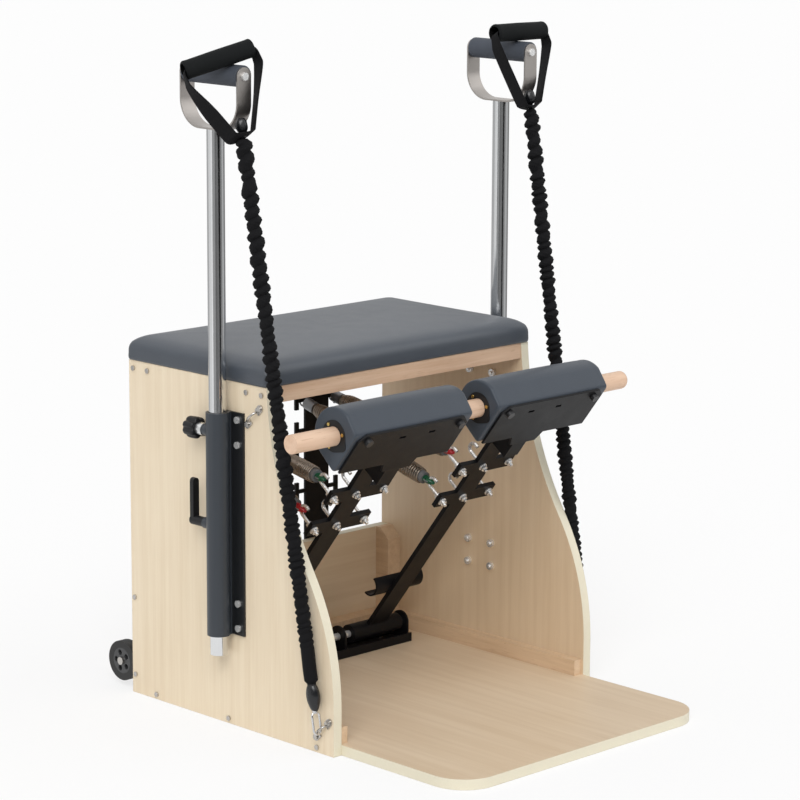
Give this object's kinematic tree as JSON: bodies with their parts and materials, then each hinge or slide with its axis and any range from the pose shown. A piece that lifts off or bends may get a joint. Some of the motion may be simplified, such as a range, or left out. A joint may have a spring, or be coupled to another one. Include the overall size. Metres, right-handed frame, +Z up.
{
  "type": "pilates chair",
  "caption": "Pilates chair: padded seat on a plywood carcass, sprung foot pedals joined by a dowel, sliding side posts with D handles, and elastic cords with strap handles.",
  "frame": {"origin": "on the floor under the middle of the base board", "axes": "+Z up, the front with the pedals towards -Y, X across between the side panels"},
  "size_m": [0.8399, 0.883, 1.1737],
  "materials": {
    "ply": "clear satin lacquer",
    "base_ply": "clear satin lacquer",
    "beech": "clear satin lacquer",
    "leatherette": "grained leatherette",
    "zinc": "bright zinc",
    "sleeve_paint": "anthracite powder coat",
    "black_plastic": "moulded",
    "stainless": "brushed",
    "black_steel": "black powder coat",
    "chrome": "polished",
    "spring_steel": "dark oiled spring wire",
    "spring_fitting": "grey",
    "cord_cover": "gathered sleeve",
    "wheel_rubber": "satin",
    "webbing": "woven",
    "foam": "closed-cell foam",
    "flange_plastic": "moulded",
    "pins": "black"
  },
  "bodies": {
    "frame": {"left_side_panel": "ply", "right_side_panel": "ply", "back_board": "ply", "base_board": "base_ply", "seat_board": "base_ply", "front_seat_rail": "beech", "rear_seat_rail": "beech", "battens": "beech", "seat_cushion": "leatherette", "frame_screws": "zinc", "sleeve_bolts": "zinc", "cord_snap_hooks": "zinc", "left_post_sleeve": "sleeve_paint", "right_post_sleeve": "sleeve_paint", "sleeve_bushes": "black_plastic", "pad_eyes": "stainless", "pivot_axle": "stainless", "wheel_brackets": "black_steel", "pivot_bracket": "black_steel", "spring_racks": "black_steel", "left_upper_spring": "spring_steel", "left_lower_spring": "spring_steel", "right_upper_spring": "spring_steel", "right_lower_spring": "spring_steel", "spring_rear_ends": "spring_fitting", "left_cord": "cord_cover", "right_cord": "cord_cover"},
    "left_wheel": {"left_wheel": "wheel_rubber"},
    "right_wheel": {"right_wheel": "wheel_rubber"},
    "dowel": {"dowel": "beech"},
    "left_post": {"left_post_tube": "chrome", "left_d_bracket": "stainless", "left_d_grip": "black_plastic", "left_grip_screws": "zinc", "left_strap": "webbing", "left_strap_grip": "foam"},
    "left_pull_knob": {"left_pull_knob": "black_plastic"},
    "left_clamp_lever": {"left_clamp_lever": "black_plastic"},
    "left_pedal": {"left_pedal_arm": "black_steel", "left_pedal_plate": "black_steel", "left_pedal_pad": "leatherette", "left_pedal_flanges": "flange_plastic", "left_hook_bolts": "zinc", "left_spring_front_ends": "spring_fitting", "left_pedal_screws": "pins"},
    "right_post": {"right_post_tube": "chrome", "right_d_bracket": "stainless", "right_d_grip": "black_plastic", "right_grip_screws": "zinc", "right_strap": "webbing", "right_strap_grip": "foam"},
    "right_pull_knob": {"right_pull_knob": "black_plastic"},
    "right_clamp_lever": {"right_clamp_lever": "black_plastic"},
    "right_pedal": {"right_pedal_arm": "black_steel", "right_pedal_plate": "black_steel", "right_pedal_pad": "leatherette", "right_pedal_flanges": "flange_plastic", "right_hook_bolts": "zinc", "right_spring_front_ends": "spring_fitting", "right_pedal_screws": "pins"}
  },
  "joints": [
    {"name": "left_pedal_swing", "type": "hinge", "parent": "frame", "child": "left_pedal", "pos_m": [0, 0.2775, 0.052], "axis": [1, 0, 0], "range_deg": [0, 42], "stiffness_Nm_per_rad": 40, "springref_deg": -45.84, "deforming": ["left_upper_spring", "left_lower_spring"]},
    {"name": "right_pedal_swing", "type": "hinge", "parent": "frame", "child": "right_pedal", "pos_m": [0, 0.2775, 0.052], "axis": [1, 0, 0], "range_deg": [0, 42], "stiffness_Nm_per_rad": 40, "springref_deg": -45.84, "deforming": ["right_upper_spring", "right_lower_spring"]},
    {"name": "dowel_slide", "type": "slide", "parent": "left_pedal", "child": "dowel", "axis": [-1, 0, 0], "range_m": [0, 0.42]},
    {"name": "left_post_slide", "type": "slide", "parent": "frame", "child": "left_post", "axis": [0, 0, 1], "range_m": [-0.1, 0.15], "deforming": ["left_cord"]},
    {"name": "left_knob_pull", "type": "slide", "parent": "frame", "child": "left_pull_knob", "axis": [0, 1, 0], "range_m": [0, 0.008], "stiffness_N_per_m": 800, "springref_m": -0.004},
    {"name": "left_lever_turn", "type": "hinge", "parent": "frame", "child": "left_clamp_lever", "pos_m": [-0.339, 0.1415, 0.353], "axis": [0, -1, 0], "range_deg": [0, 100]},
    {"name": "left_wheel_spin", "type": "hinge", "parent": "frame", "child": "left_wheel", "pos_m": [-0.293, 0.445, 0.0455], "axis": [1, 0, 0], "continuous": true},
    {"name": "right_post_slide", "type": "slide", "parent": "frame", "child": "right_post", "axis": [0, 0, 1], "range_m": [-0.1, 0.15], "deforming": ["right_cord"]},
    {"name": "right_knob_pull", "type": "slide", "parent": "frame", "child": "right_pull_knob", "axis": [0, 1, 0], "range_m": [0, 0.008], "stiffness_N_per_m": 800, "springref_m": -0.004},
    {"name": "right_lever_turn", "type": "hinge", "parent": "frame", "child": "right_clamp_lever", "pos_m": [0.339, 0.1415, 0.353], "axis": [0, 1, 0], "range_deg": [0, 100]},
    {"name": "right_wheel_spin", "type": "hinge", "parent": "frame", "child": "right_wheel", "pos_m": [0.293, 0.445, 0.0455], "axis": [1, 0, 0], "continuous": true}
  ],
  "couplings": [
    {"joint": "right_pedal_swing", "follows": "left_pedal_swing", "ratio": 1}
  ]
}
